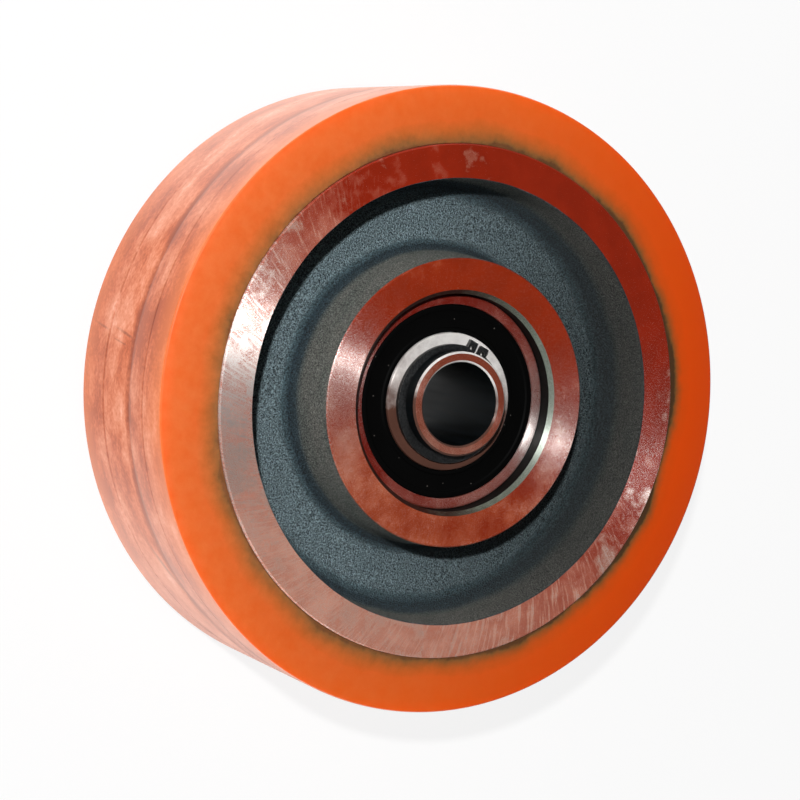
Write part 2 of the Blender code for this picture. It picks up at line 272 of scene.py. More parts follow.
add_lamp("key_lamp", (-0.15, -0.50, 0.78), 0.035, 0.035, 8.8)
add_lamp("left_softbox", (-0.03, -0.52, 0.24), 0.4, 0.4, 0.2)
add_lamp("upper_strip", (-0.46, -0.08, 0.0), 0.5, 0.05, 0.85)
add_lamp("lower_strip", (0.46, -0.08, 0.0), 0.5, 0.05, 1.0)

# %% [markdown]
# Picking. An operator works on whatever is selected, as it does by hand. So one function makes
# a piece the active one, and another selects the points or edges whose middle passes a test.

# %% Pick and select
def pick(piece):
    """Makes the piece the one that the next steps work on."""
    bpy.ops.object.select_all(action="DESELECT")
    piece.select_set(True)
    bpy.context.view_layer.objects.active = piece


def start_editing(piece):
    pick(piece)
    bpy.ops.object.mode_set(mode="EDIT")


def select_where(piece, kind, test):
    """Selects the verts or edges whose middle passes the test, and nothing else."""
    mesh = bmesh.from_edit_mesh(piece.data)
    bpy.ops.mesh.select_all(action="DESELECT")
    chosen = []
    for item in getattr(mesh, kind):
        corners = [item] if kind == "verts" else item.verts
        middle = sum((v.co for v in corners), Vector()) / len(corners)
        if test(middle, item):
            chosen.append(item)
    for item in chosen:
        item.select_set(True)
    mesh.select_flush_mode()
    bmesh.update_edit_mesh(piece.data)
    return len(chosen)


print("selecting by place is ready")

# %% [markdown]
# Turning. Nearly every piece of a wheel was shaped on a lathe, or cast in a round mould, so
# nearly every piece here is made as on a lathe too. A small circle is merged to one point, the
# point is extruded from corner to corner round the section, the corners are bevelled into
# fillets, and the outline is spun round the axis. It is quick to redraw when a size changes.

# %% Lathe
CRISP_ANGLE = math.radians(32)  # edges that turn by more than this aren't shaded smooth


def tangent_length(before, corner, after, fillet):
    """How far from a corner a fillet of that radius starts."""
    first = Vector(before[:2]) - Vector(corner[:2])
    second = Vector(after[:2]) - Vector(corner[:2])
    return fillet / math.tan(first.angle(second) / 2)


def draw_section(name, corners):
    """Draws a closed outline of (radius, height, fillet) corners in the XZ plane."""
    bpy.ops.object.select_all(action="DESELECT")
    bpy.ops.mesh.primitive_circle_add(vertices=3, radius=MM)
    piece = bpy.context.object
    piece.name = name
    bpy.ops.object.mode_set(mode="EDIT")
    bpy.ops.mesh.select_all(action="SELECT")
    bpy.ops.mesh.merge(type="CENTER")
    bpy.ops.transform.translate(value=(corners[0][0], 0, corners[0][1]))
    for before, after in zip(corners, corners[1:]):
        step = (after[0] - before[0], 0, after[1] - before[1])
        bpy.ops.mesh.extrude_vertices_move(TRANSFORM_OT_translate={"value": step})
    select_where(piece, "verts", lambda middle, vert: len(vert.link_edges) == 1)
    bpy.ops.mesh.edge_face_add()
    for i, corner in enumerate(corners):
        if corner[2]:
            spot = Vector((corner[0], 0, corner[1]))
            select_where(piece, "verts", lambda middle, vert: (middle - spot).length < HAIRLINE / 4)
            offset = tangent_length(corners[i - 1], corner, corners[(i + 1) % len(corners)], corner[2])
            steps = 2 + round(2 * math.sqrt(corner[2] / MM))
            bpy.ops.mesh.bevel(offset=offset, segments=steps, affect="VERTICES")
    return piece


def spin_section(piece, sides):
    bpy.ops.mesh.select_all(action="SELECT")
    bpy.ops.mesh.spin(steps=sides, angle=2 * math.pi, center=(0, 0, 0), axis=(0, 0, 1))
    bpy.ops.mesh.select_all(action="SELECT")
    bpy.ops.mesh.remove_doubles(threshold=HAIRLINE / 10)
    bpy.ops.mesh.normals_make_consistent(inside=False)
    bpy.ops.object.mode_set(mode="OBJECT")
    bpy.ops.object.shade_smooth_by_angle(angle=CRISP_ANGLE)


def turn_piece(name, corners, sides):
    piece = draw_section(name, corners)
    spin_section(piece, sides)
    print(name, "has", len(piece.data.polygons), "faces")
    return piece


def mirrored(corners):
    """The corners turned upside down, in an order that goes on from the upper ones."""
    return [(radius, -height, fillet) for radius, height, fillet in reversed(corners)]


print("lathe ready")

# %% [markdown]
# Finishes follow the shape. A face gets its material by its radius, its height and the way it
# points. Inside a material the patterns of a wheel run round its axis, so its shader often
# needs to know how far from the axis it is.

# %% Finish by place
def paint_faces(piece, materials, choose):
    """Gives each face the material whose number choose(radius, height, normal) returns."""
    for material in materials:
        piece.data.materials.append(material)
    for face in piece.data.polygons:
        middle = face.center
        face.material_index = choose(math.hypot(middle.x, middle.y), middle.z, face.normal)


def across_axis(add, place):
    """A shader's place with its height taken out, and how far from the axis that is."""
    flat = add("VectorMath", [place, (1, 1, 0)], "MULTIPLY")
    return flat, add("VectorMath", [flat], "LENGTH")


print("finishing by place is ready")

# %% [markdown]
# Cast polyurethane, side faces. The tyre is poured hot into a mould round the hub and cures to
# a satin, slightly clear orange. Light enters it a few millimetres and comes out warmer. Where
# the tyre thins out over the hub the dull iron and the bonding primer show through, so a brown
# band follows the bond line. Its edge wanders with broad clouds and is frayed by a finer
# mottle, which also gives the surface its faint cloudiness and soft orange peel. The side
# towards -Y is painted paler, as painted light, in a haze that the mottle breaks up. The side
# towards +Y is painted a deeper orange, as painted shade.

# %% Cast polyurethane
CLOUD_SIZE = 20 * MM
MOTTLE_SIZE = 3 * MM
BAND_WANDER = 5.0 * MM  # how far the clouds move the brown band's edge in all
BAND_WIDENING = 2.9 * MM  # how far it lies outward where there is no cloud
BAND_FRAYING = 1.0 * MM  # how far the mottle moves it either way
BAND_LEAN = 0.008  # how much wider the band gets with each metre towards +Y
PAINTED_LIGHT_SIDES = (0.06, -0.07)  # along Y, from none to full painted light, a pale haze on the -Y side
PAINTED_SHADE_SIDES = (0.0, 0.07)  # along Y, from none to full painted shade, a deeper orange on the +Y side
OFF_BAND = (0.02, 0.2)  # on the way from bond to tread, where the painted shade's deeper orange starts and is full


def make_cast_polyurethane():
    material, shader, place, add = new_material("cast polyurethane, moulded")
    sideways = add("SeparateXYZ", [place]).outputs["Y"]
    flat, radius = across_axis(add, place)
    cloud = add("TexNoise", [place, 1 / CLOUD_SIZE, 3.0])
    mottle = add("TexNoise", [place, 1 / MOTTLE_SIZE, 4.0, 0.65])
    drift = add("Math", [cloud, BAND_WANDER, -BAND_WIDENING], "MULTIPLY_ADD")
    ragged = add("Math", [mottle, 2 * BAND_FRAYING, -BAND_FRAYING], "MULTIPLY_ADD")
    lean = add("Math", [sideways, -BAND_LEAN, ragged], "MULTIPLY_ADD")
    shift = add("Math", [drift, lean], "ADD")
    edge = add("Math", [radius, shift], "ADD")
    share = add("MapRange", [edge, bond_radius, tyre_radius])
    ramp = add(
        "ValToRGB",
        [share],
        stops=[
            (0.0, "4A3420"),
            (0.04, "72502A"),
            (0.11, "965424"),
            (0.22, "BE5A1E"),
            (0.38, "DC5A18"),
            (0.80, "E45A12"),
            (0.96, "F0580A"),
        ],
    )
    # Painted light: the tyre's side is paler towards -Y, in a haze that the mottle breaks up.
    painted_light_side = add("MapRange", [sideways, *PAINTED_LIGHT_SIDES, 0, 0.45])
    painted_light_share = add("Math", [mottle, painted_light_side], "MULTIPLY")
    painted_light_mix = add("Mix", [painted_light_share, ramp, "F2965C"], data_type="RGBA")
    # Painted shade: the tyre's side is a deeper orange towards +Y.
    painted_shade_side = add("MapRange", [sideways, *PAINTED_SHADE_SIDES, 0, 0.75])
    off_band = add("MapRange", [share, *OFF_BAND])
    painted_shade_share = add("Math", [painted_shade_side, off_band], "MULTIPLY")
    painted_shade_mix = add("Mix", [painted_shade_share, painted_light_mix, "E64600"], data_type="RGBA")
    feed(shader, {
        "Base Color": painted_shade_mix,
        "Roughness": add("MapRange", [mottle, 0, 1, 0.34, 0.5]),
        "IOR": 1.5,
        "Specular IOR Level": 0.2,
        "Subsurface Weight": 0.15,
        "Subsurface Radius": (3.0, 1.0, 0.3),
        "Subsurface Scale": MM,
        "Normal": add("Bump", {"Height": mottle, "Strength": 0.35, "Distance": 0.12 * MM}),
    })
    return material


cast_polyurethane = make_cast_polyurethane()
print("made", cast_polyurethane.name)

# %% [markdown]
# Marks on the tread. Three shallow grooves run round it, a few scratches lie across it, and
# there is a grey scuff. A scratch is a short line on the unrolled tread, and the shader works
# out how far from that line each point is. The grooves are listed here too, because the
# finish darkens them and the tyre's section, further down, cuts them.

# %% Tread marks
TREAD_GROOVES = (  # height, width and depth of each
    (14.0 * MM, 0.7 * MM, 0.14 * MM),
    (5.4 * MM, 1.9 * MM, 0.18 * MM),
    (-10.7 * MM, 0.9 * MM, 0.25 * MM),
)
TREAD_SCRATCHES = (  # direction from the axis, height, slant, length and width of each
    (-90, -16 * MM, 8, 9 * MM, 0.5 * MM),
    (-89.5, -1 * MM, 9, 11 * MM, 0.6 * MM),
    (-87.8, -3 * MM, 7, 7 * MM, 0.4 * MM),
    (118, 6 * MM, 12, 9 * MM, 0.5 * MM),
)
TREAD_SCUFF = (-44, 3 * MM, 60, 19 * MM, 1.6 * MM)


def add_stroke(add, angle, height, mark, blur):
    """1 on a short line across the tread and 0 away from it, on the unrolled surface."""
    middle, level, slant, length, width = mark
    start = math.radians(middle) * tyre_radius
    across = add("Math", [angle, tyre_radius, -start], "MULTIPLY_ADD")
    upward = add("Math", [height, level], "SUBTRACT")
    spot = add("CombineXYZ", [across, upward])
    # The slant is measured from the axis, so a line with none runs straight across the tread.
    turned = add("VectorRotate", {"Vector": spot, "Angle": math.radians(slant)}, rotation_type="Z_AXIS")
    scaled = add("VectorMath", [turned, (2 / width, 2 / length, 0)], "MULTIPLY")
    away = add("VectorMath", [scaled], "LENGTH")
    return add("MapRange", [away, 1.0 + blur, 1.0 - blur])


print("grooves:", len(TREAD_GROOVES), "scratches:", len(TREAD_SCRATCHES))

# %% [markdown]
# Worn polyurethane, on the tread. Rolling over concrete has scoured the gloss off and left a
# chalky, salmon skin. Broad brown stains and narrow streaks run round the wheel. They are two
# noises, one a little and one much stretched round it, on top of darker and paler bands that
# lie where the wheel has run on different strips of floor. The grooves hold darker dirt, which
# a fine noise breaks into dots. The sides towards +X and -X are painted paler than the rest,
# which is a painted glare, and the edges, which carry less weight, keep more of their orange.

# %% Worn polyurethane
TREAD_HALF = 24 * MM
EDGE_BAND = (15 * MM, 24 * MM)  # from here to here the tread keeps more of its orange
GLARE_START = 20 * MM  # from the YZ plane, where the painted glare starts to show
STREAK_SHARE, SPECKLE_SHARE, BAND_SHARE = 0.2, 0.32, 0.26  # what each adds to the stains
DARKEST, PALEST = 0.72, 1.25  # the sums that give the tread's darkest and palest colours
DIRT_BREAKS = (0.6, 0.9)  # dirt is full where stains and specks add up to less, and thin above
DIRT_FULL, DIRT_THIN = 0.95, 0.25
SCRATCH_BLUR, SCUFF_BLUR = 0.5, 0.9  # how soft the ends and sides of a mark are, up to 1


def make_worn_polyurethane():
    material, shader, place, add = new_material("polyurethane, worn by rolling")
    axes = add("SeparateXYZ", [place]).outputs
    narrow = add("Mapping", {"Vector": place, "Scale": (1, 1, 16)})
    broad = add("Mapping", {"Vector": place, "Scale": (1, 1, 1.5)})
    streaks = add("TexNoise", [narrow, 1 / (50 * MM), 2.0, 0.5])
    stains = add("TexNoise", {
        "Vector": broad, "Scale": 1 / (14 * MM), "Detail": 4.0, "Roughness": 0.6, "Distortion": 0.2
    })
    speckle = add("TexNoise", [place, 1 / (0.9 * MM), 3.0])
    both = add("Math", [streaks, STREAK_SHARE, stains], "MULTIPLY_ADD")
    rough = add("Math", [speckle, SPECKLE_SHARE, both], "MULTIPLY_ADD")
    across = add("MapRange", [axes["Z"], -TREAD_HALF, TREAD_HALF])
    bands = add(
        "ValToRGB",
        [across],
        stops=[(0.14, 0.25), (0.26, 0.75), (0.56, 0.75), (0.61, 0.0), (0.66, 0.5), (0.80, 0.5)],
    )
    banded = add("Math", [bands, BAND_SHARE, rough], "MULTIPLY_ADD")
    colour = add(
        "ValToRGB",
        [add("MapRange", [banded, DARKEST, PALEST])],
        stops=[
            (0.10, "A84C24"),
            (0.30, "C26238"),
            (0.50, "D27A54"),
            (0.68, "DE9070"),
            (0.92, "EDB29C"),
        ],
    )
    marks = []
    for groove_height, width, depth in TREAD_GROOVES:
        off = add("Math", [axes["Z"], groove_height], "SUBTRACT")
        off = add("Math", [off], "ABSOLUTE")
        marks.append(add("MapRange", [off, width, width * 0.1]))
    angle = add("Math", [axes["Y"], axes["X"]], "ARCTAN2")
    for scratch in TREAD_SCRATCHES:
        marks.append(add_stroke(add, angle, axes["Z"], scratch, SCRATCH_BLUR))
    dirt = 0.0
    for mark in marks:
        dirt = add("Math", [dirt, mark], "MAXIMUM")
    broken = add("MapRange", [rough, *DIRT_BREAKS, DIRT_FULL, DIRT_THIN])
    scuff = add_stroke(add, angle, axes["Z"], TREAD_SCUFF, SCUFF_BLUR)
    from_centre = add("Math", [axes["Z"]], "ABSOLUTE")
    glare_distance = add("Math", [axes["X"]], "ABSOLUTE")
    # The last layer is a painted glare: the tread is painted paler towards +X and -X.
    layers = (
        (add("Math", [dirt, broken], "MULTIPLY"), "7E3A26"),
        (add("Math", [scuff, streaks], "MULTIPLY"), "3C3A34"),
        (add("MapRange", [from_centre, *EDGE_BAND, 0, 0.55]), "E67C40"),
        (add("MapRange", [glare_distance, GLARE_START, tyre_radius, 0, 0.55]), "ECC4B8"),
    )
    for share, tint in layers:
        colour = add("Mix", [share, colour, tint], data_type="RGBA")
    feed(shader, {
        "Base Color": colour,
        "Roughness": 0.6,
        "IOR": 1.5,
        "Sheen Weight": 0.12,
        "Sheen Roughness": 0.4,
        "Sheen Tint": "FFE9DC",
        "Normal": add("Bump", {"Height": rough, "Strength": 0.4, "Distance": 0.2 * MM}),
    })
    return material


worn_polyurethane = make_worn_polyurethane()
print("made", worn_polyurethane.name)

# %% [markdown]
# The tyre. Its section is a thick band: flat tread, a side face on each side that rises a
# little towards the hub, and a bore that is bonded to the iron. The tread's edge is still
# fairly crisp. The grooves are cut into the section before it is spun, so that they catch
# light and shade as real grooves do.

# %% Tyre
TREAD_EDGE_ROUND = 0.7 * MM
BOND_EDGE_ROUND = 0.25 * MM
WHEEL_SIDES = 288  # facets round the tyre, and round the hub
TREAD_STEEPNESS = 0.7  # a face whose normal rises less than this belongs to the tread
GROOVE_SLOPE = 0.3  # the share of a groove's width that each of its sides takes up


def groove_corners(height, width, depth):
    """A shallow groove with sloping sides, from its upper to its lower edge."""
    slope = width * GROOVE_SLOPE
    bottom = tyre_radius - depth
    return [
        (tyre_radius, height + width / 2, 0),
        (bottom, height + width / 2 - slope, 0),
        (bottom, height - width / 2 + slope, 0),
        (tyre_radius, height - width / 2, 0),
    ]


def tyre_finish(radius, height, normal):
    """The number of the finish in the list below."""
    return 1 if abs(normal.z) < TREAD_STEEPNESS and radius > bond_radius + MM else 0


tyre_side = heights_of("tyre")[1]
tread_edge = tyre_side - FRONT_EDGE_BELOW_SIDE
tyre_bore = bond_radius + HAIRLINE
tyre_corners = [
    (tyre_bore, tyre_side, BOND_EDGE_ROUND),
    (tyre_radius, tread_edge, TREAD_EDGE_ROUND),
    *[corner for groove in TREAD_GROOVES for corner in groove_corners(*groove)],
    (tyre_radius, -tread_edge, TREAD_EDGE_ROUND),
    (tyre_bore, -tyre_side, BOND_EDGE_ROUND),
]
tyre = turn_piece("polyurethane_tyre", tyre_corners, WHEEL_SIDES)
paint_faces(tyre, [cast_polyurethane, worn_polyurethane], tyre_finish)
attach(tyre, "wheel")
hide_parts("tyre")

# %% [markdown]
# Sand-cast iron under thin paint. The mould's sand leaves a skin of fine pits and grains, and
# the blue-grey paint is too thin to fill them. It runs off the walls and lies pale on the level
# web. The colour follows the way a face points, and the corners between are painted dark blue,
# which is painted shade. Thousands of tiny slopes flash as the light finds them. Over the
# grain's own tone the crests are painted paler and the pits darker: painted glints and painted
# shade. The paint is darker towards +Y, down to charcoal. The grains are about a third of a
# millimetre, as coarse moulding sand leaves them.

# %% Sand-cast iron
GRAIN_SIZE = 0.36 * MM
RELIEF = 1.0 * MM
DARKER_SIDES = (-0.01, 0.045)  # along Y, from the plain paint to the fully darkened one
PATCHINESS = 0.08  # how far broad patches shift the colours of the paint along their ramp
PIT_SHADE, CREST_GLINT = 0.2, 1.75  # painted shade in a pit and painted glint on a grain: their brightness, before the power
CREST_POWER = 1.6  # sets the brightness of the highest grains, the painted glints, off from that of the others


def make_sand_cast_iron():
    material, shader, place, add = new_material("sand-cast iron, thin blue-grey paint")
    slope = add("SeparateXYZ", [place.node.outputs["Normal"]]).outputs["Z"]
    level = add("Math", [slope], "ABSOLUTE")
    grain = add("TexNoise", [place, 1 / GRAIN_SIZE, 2.0, 0.6])
    broad = add("TexNoise", [place, 1 / (8 * MM), 4.0])
    wander = add("Math", [broad, PATCHINESS, -PATCHINESS / 2], "MULTIPLY_ADD")
    depth = add("Math", [level, wander], "ADD")
    # Painted shade: the colour goes by the slope, and the corners between walls and web are painted
    # dark blue.
    paint = add(
        "ValToRGB",
        [depth],
        stops=[
            (0.0, "86827A"),
            (0.14, "6C706A"),
            (0.40, "334147"),
            (0.72, "22323A"),
            (0.90, "485B61"),
            (0.99, "6F8085"),
        ],
    )
    # The paint is darker towards +Y, down to charcoal.
    darker_share = add("MapRange", [add("SeparateXYZ", [place]).outputs["Y"], *DARKER_SIDES, 0, 0.75])
    darker_paint = add("Mix", [darker_share, paint, "1C201F"], data_type="RGBA")
    # Painted glints and painted shade over the grain's own tone: the crests are paler and the pits
    # darker.
    height = add("MapRange", [grain, 0.3, 0.7, PIT_SHADE, CREST_GLINT])
    worn = add("Math", [height, CREST_POWER], "POWER")
    gloss = add("ValToRGB", [depth], stops=[(0.0, 0.5), (0.4, 0.75), (0.75, 0.75), (0.98, 0.25)])
    feed(shader, {
        "Base Color": add("VectorMath", [darker_paint, worn], "SCALE"),
        "Roughness": gloss,
        "IOR": 1.5,
        "Normal": add("Bump", {"Height": grain, "Strength": 1.0, "Distance": RELIEF}),
    })
    return material


sand_cast_iron = make_sand_cast_iron()
print("made", sand_cast_iron.name)

# %% [markdown]
# Turned metal with a film of primer. A lathe leaves grooves too fine to see. They stretch each
# highlight into a fan across the ring: a strong anisotropy, with its tangent running round the
# Z axis and turned by a quarter, does the same. The red bonding primer lies in the grooves, and
# the crests between them are rubbed bare, so up close the face is red paint and bright metal
# in turn. Only the metal flashes, which is why the fan is white on a red face. Where the film
# has gone, dust has taken its place. Some of the film is chipped and scratched across. More
# crests can be made bare along the Y axis, where the fans fall: a painted highlight. The film
# can lean to one side of a ring, which paints the colours that its faces reflect: painted
# reflection.

# %% Turned metal
GROOVE_PITCH = 0.06 * MM  # a fine feed. Ground steel's marks are finer, and drawn as wide as this
CREST_LENGTH = 0.2 * MM  # of a bare spot on a crest, drawn longer than real ones so that it shows
CREST_STARTS, CREST_FULL = 0.48, 0.58  # the grain's values between which a crest comes out bare
FILM_OVER_CRESTS = 0.25  # what a full film takes off the grain's value
CHAMFER_STEP = 0.4  # how much a groove's number grows with height, next to its growth outward
HIGHLIGHT_FOCUS = 6.0  # how closely the extra bare crests, a painted highlight, keep to the Y axis
FILM_PATCH = 8 * MM
FILM_CONTRAST = 1.5  # how much the patches change the film's share
THIN_SHADE, THICK_SHADE = 1.12, 0.9  # brightness of the film where it lies thin and thick
CHIP_EDGE = (0.54, 0.66)  # the patches' values between which the film chips off
SCRATCH_EDGE = (0.5, 0.68)  # the scratches' values between which it is scratched off
SCRATCH_SIDES = (0.3, -0.2)  # the film's lean between which the scratches come in
SCRATCH_LENGTH = 6 * MM
SCRATCH_CROWDING = 95.0  # cells of the scratches' noise in one radian round the axis
SCRATCH_SLANT = 7.0  # how far, in radians, a scratch turns round the axis in one metre outward


def make_turned_metal(
    name, bare, film, dust, cover, lean, crests, roughness, bared_for_highlight=0.0, chips=0.0, scratches=0.0
):
    """cover is the film's mean share and lean how much more of it lies towards +X and +Y, which
    paints the ring's reflections round it: painted reflection. crests sets how many crests are
    bare, and a further number how many more are bare along the Y axis, where the highlight fans
    fall: a painted highlight."""
    material, shader, place, add = new_material(name)
    height = add("SeparateXYZ", [place]).outputs["Z"]
    flat, radius = across_axis(add, place)
    outward = add("VectorMath", [flat], "NORMALIZE")

    patches = add("TexNoise", [place, 1 / FILM_PATCH, 5.0, 0.62])
    # Painted reflection: the lean puts more film on one side of the ring than on the other.
    towards = add("VectorMath", [outward, (*lean, 0)], "DOT_PRODUCT")
    patchy = add("Math", [patches, FILM_CONTRAST, cover - FILM_CONTRAST / 2], "MULTIPLY_ADD")
    laid = add("Math", [patchy, towards], "ADD")
    chipped = add("MapRange", [patches, *CHIP_EDGE, 0, chips])

    turn = add("Math", [radius, SCRATCH_SLANT], "MULTIPLY")
    slanted = add("VectorRotate", {"Vector": outward, "Angle": turn}, rotation_type="Z_AXIS")
    fine = add("VectorMath", [slanted, SCRATCH_CROWDING], "SCALE")
    step = add("Math", [radius, 1 / SCRATCH_LENGTH], "MULTIPLY")
    spot = add("VectorMath", [fine, add("CombineXYZ", {"Z": step})], "ADD")
    scratched = add("MapRange", [add("TexNoise", [spot, 1.0, 3.0]), *SCRATCH_EDGE, 0, scratches])
    thin = add("MapRange", [towards, *SCRATCH_SIDES])
    lost = add("Math", [scratched, thin, chipped], "MULTIPLY_ADD")
    film_share = add("Math", [laid, lost], "SUBTRACT", use_clamp=True)

    valley = add("Mix", [film_share, dust, film], data_type="RGBA")
    thickness = add("MapRange", [patches, 0.35, 0.65, THIN_SHADE, THICK_SHADE])
    shaded = add("VectorMath", [valley, thickness], "SCALE")

    across = add("Math", [height, CHAMFER_STEP, radius], "MULTIPLY_ADD")
    groove = add("Math", [across, 1 / GROOVE_PITCH], "MULTIPLY")
    unrolled = add("VectorMath", [outward, bond_radius / CREST_LENGTH], "SCALE")
    spot = add("VectorMath", [unrolled, add("CombineXYZ", {"Z": groove})], "ADD")
    grain = add("TexNoise", [spot, 1.0, 1.0])
    buried = add("Math", [film_share, -FILM_OVER_CRESTS, grain], "MULTIPLY_ADD")
    # Painted highlight: extra crests come out bare along the Y axis, where the highlight fans fall.
    sideways = add("Math", [add("SeparateXYZ", [outward]).outputs["Y"]], "ABSOLUTE")
    highlight_axis_share = add("Math", [sideways, HIGHLIGHT_FOCUS], "POWER")
    exposed = add("Math", [highlight_axis_share, bared_for_highlight, buried], "MULTIPLY_ADD")
    crest = add("MapRange", [exposed, CREST_STARTS - crests, CREST_FULL - crests])
    feed(shader, {
        "Base Color": add("Mix", [crest, shaded, bare], data_type="RGBA"),
        "Metallic": add("MapRange", [crest, 0, 1, 0.1, 1.0]),
        "Roughness": roughness,
        "Specular IOR Level": 0.2,
        "Anisotropic": 0.95,
        "Anisotropic Rotation": 0.25,
        "Tangent": add("Tangent", direction_type="RADIAL", axis="Z"),
    })
    return material


print("turned metal ready")

# %% [markdown]
# The hub's turned faces. On the rim the film is worn through in patches, so dust and bright
# iron show between the red, most on the side towards +X. The red is deepest towards -X and +Y:
# this lean is painted reflection. The boss has kept nearly all of its film, and it is painted
# more coppery towards +X, also painted reflection. Past the edge the bore is oily: oil fills
# the grooves. Its mouth is a greenish grey ring, painted paler towards +Y and darker towards -Y
# as painted reflection, and the seat below it is painted almost black, which is painted shade.

# %% Turned iron
# Painted reflection and painted highlight: the lean makes the rim redder towards -X and +Y, and extra
# bare crests lie along the Y axis.
rim_iron = make_turned_metal(
    "turned iron, worn film of red primer", bare="E6DEDA", film="8E240E", dust="D09078", cover=0.82,
    lean=(-0.52, 0.32), crests=-0.03, roughness=0.46, bared_for_highlight=0.175, chips=0.8, scratches=0.6
)
# Painted reflection and painted highlight: the lean makes the boss more coppery towards +X, and extra
# bare crests lie along the Y axis.
boss_iron = make_turned_metal(
    "turned iron, film of red primer", bare="EEE8E4", film="902A0C", dust="CC7248", cover=0.95,
    lean=(-0.22, 0.10), crests=0.04, roughness=0.42, bared_for_highlight=0.165, chips=0.1, scratches=0.1
)
# Painted reflection: the lean makes the chamfer pale towards +Y and dark towards -Y.
chamfer_iron = make_turned_metal(
    "bored iron, oiled", bare="CDD4CA", film="34160E", dust="6E786A", cover=0.9,
    lean=(0.15, -1.0), crests=0.01, roughness=0.5, chips=0.2
)
# Painted shade: the bearing seat, down in the bore, is painted almost black.
shaded_seat_iron = make_turned_metal(
    "bored iron, painted almost black as shade", bare="4A4C4A", film="120B08", dust="0E0E0D", cover=0.5,
    lean=(0.0, -0.3), crests=-0.08, roughness=0.45
)
print("made", rim_iron.name, "and three more")

# %% [markdown]
# The hub. One casting: a rim, a web half as thick, and a boss that holds both bearings, with
# generous fillets in the corners because molten iron dislikes sharp ones. Only the faces and
# the bore are turned. The section is cut finer where the skin is cast, to be roughened below.

# %% Hub section
RIM_WALL = 8 * MM
RIM_DRAFT = 0.8 * MM
RIM_FILLET = 6.5 * MM
RIM_EDGE = 0.3 * MM
WEB_HALF = 10 * MM
BOSS_RADIUS = 34.5 * MM
BOSS_DRAFT = 1.5 * MM
BOSS_FILLET = 4.5 * MM
BOSS_EDGE = 0.3 * MM
BORE_CHAMFER = 1.0 * MM
SHOULDER_DEPTH = 3.5 * MM
SHOULDER_GAP = 0.3 * MM
SKIN_STEP = 1.3 * MM  # edges of the cast skin that are longer than this are halved
SKIN_HALVINGS = 4
LIP = 0.15 * MM

rim_inside = bond_radius - RIM_WALL
seat_radius = ring_radius + HAIRLINE
shoulder = bearing_bottom - SHOULDER_GAP
hub_upper_half = [
    (bond_radius, hub_face - RIM_EDGE, 0),
    (bond_radius - RIM_EDGE, hub_face, 0),
    (rim_inside, hub_face, 0),
    (rim_inside - LIP, hub_face - LIP, 0),
    (rim_inside - RIM_DRAFT, WEB_HALF, RIM_FILLET),
    (BOSS_RADIUS + BOSS_DRAFT, WEB_HALF, BOSS_FILLET),
    (BOSS_RADIUS, hub_face - BOSS_EDGE, 0),
    (BOSS_RADIUS - BOSS_EDGE, hub_face, 0),
    (seat_radius + BORE_CHAMFER, hub_face, 0),
    (seat_radius, hub_face - BORE_CHAMFER, 0),
    (seat_radius, shoulder, 0),
    (seat_radius - SHOULDER_DEPTH, shoulder, 0),
]


def is_cast(radius, height):
    """True on the skin between the boss and the rim, and false on what the lathe cut."""
    between = BOSS_RADIUS - HAIRLINE < radius < rim_inside + HAIRLINE
    on_boss_edge = radius < BOSS_RADIUS + HAIRLINE and abs(height) > hub_face - 2 * BOSS_EDGE
    return between and not on_boss_edge


def is_too_long(middle, edge):
    return is_cast(middle.x, middle.z) and edge.calc_length() > SKIN_STEP


hub = draw_section("cast_hub", hub_upper_half + mirrored(hub_upper_half))
for halving in range(SKIN_HALVINGS):
    select_where(hub, "edges", is_too_long)
    bpy.ops.mesh.subdivide(number_cuts=1)
spin_section(hub, WHEEL_SIDES)
print("hub section has", len(hub_upper_half), "corners in each half")

# %% [markdown]
# The hub's skin. It gets a gentle unevenness, as hand-rammed sand gives it. Where the lathe
# cut through that skin, the rim's inner edge comes out slightly wavy: its points are pulled
# back into the plane of the face after the skin has been roughened.

# %% Hub skin
SKIN_LUMPS = 11 * MM
SKIN_RELIEF = 0.5 * MM

start_editing(hub)
hub_groups = {
    "cast skin": is_cast,
    "front lip": lambda radius, height: abs(radius - rim_inside) < HAIRLINE and height > 0,
    "rear lip": lambda radius, height: abs(radius - rim_inside) < HAIRLINE and height < 0,
}
for group, belongs in hub_groups.items():
    count = select_where(
        hub, "verts", lambda middle, vert: belongs(math.hypot(middle.x, middle.y), middle.z)
    )
    bpy.ops.object.vertex_group_add()
    hub.vertex_groups.active.name = group
    bpy.ops.object.vertex_group_assign()
    print(group, "has", count, "points")
bpy.ops.object.mode_set(mode="OBJECT")

lumps = bpy.data.textures.new("lumps of rammed sand", "CLOUDS")
lumps.noise_scale = SKIN_LUMPS
lumps.noise_depth = 2
roughen = hub.modifiers.new("roughen", "DISPLACE")
roughen.texture = lumps
roughen.texture_coords = "LOCAL"
roughen.vertex_group = "cast skin"
roughen.strength = SKIN_RELIEF
bpy.ops.object.modifier_apply(modifier="roughen")

start_editing(hub)
for group, face_height in (("front lip", hub_face), ("rear lip", -hub_face)):
    bpy.ops.mesh.select_all(action="DESELECT")
    bpy.ops.object.vertex_group_set_active(group=group)
    bpy.ops.object.vertex_group_select()
    bpy.ops.transform.resize(value=(1, 1, 0), center_override=(0, 0, face_height))
bpy.ops.object.mode_set(mode="OBJECT")

# %% [markdown]
# The hub's finishes go on by radius: paint between rim and boss, primer on the two turned
# faces, and oiled iron from the bore's chamfer inward, with the seat painted almost black as
# painted shade.

# %% Hub finishes
def hub_finish(radius, height, normal):
    """The number of the finish in the list below."""
    if is_cast(radius, height):
        return 1
    if radius > BOSS_RADIUS:
        return 0
    if radius > seat_radius + BORE_CHAMFER:
        return 2
    # The chamfer gets oiled iron, and the seat iron painted almost black as painted shade.
    return 3 if radius > seat_radius + HAIRLINE else 4


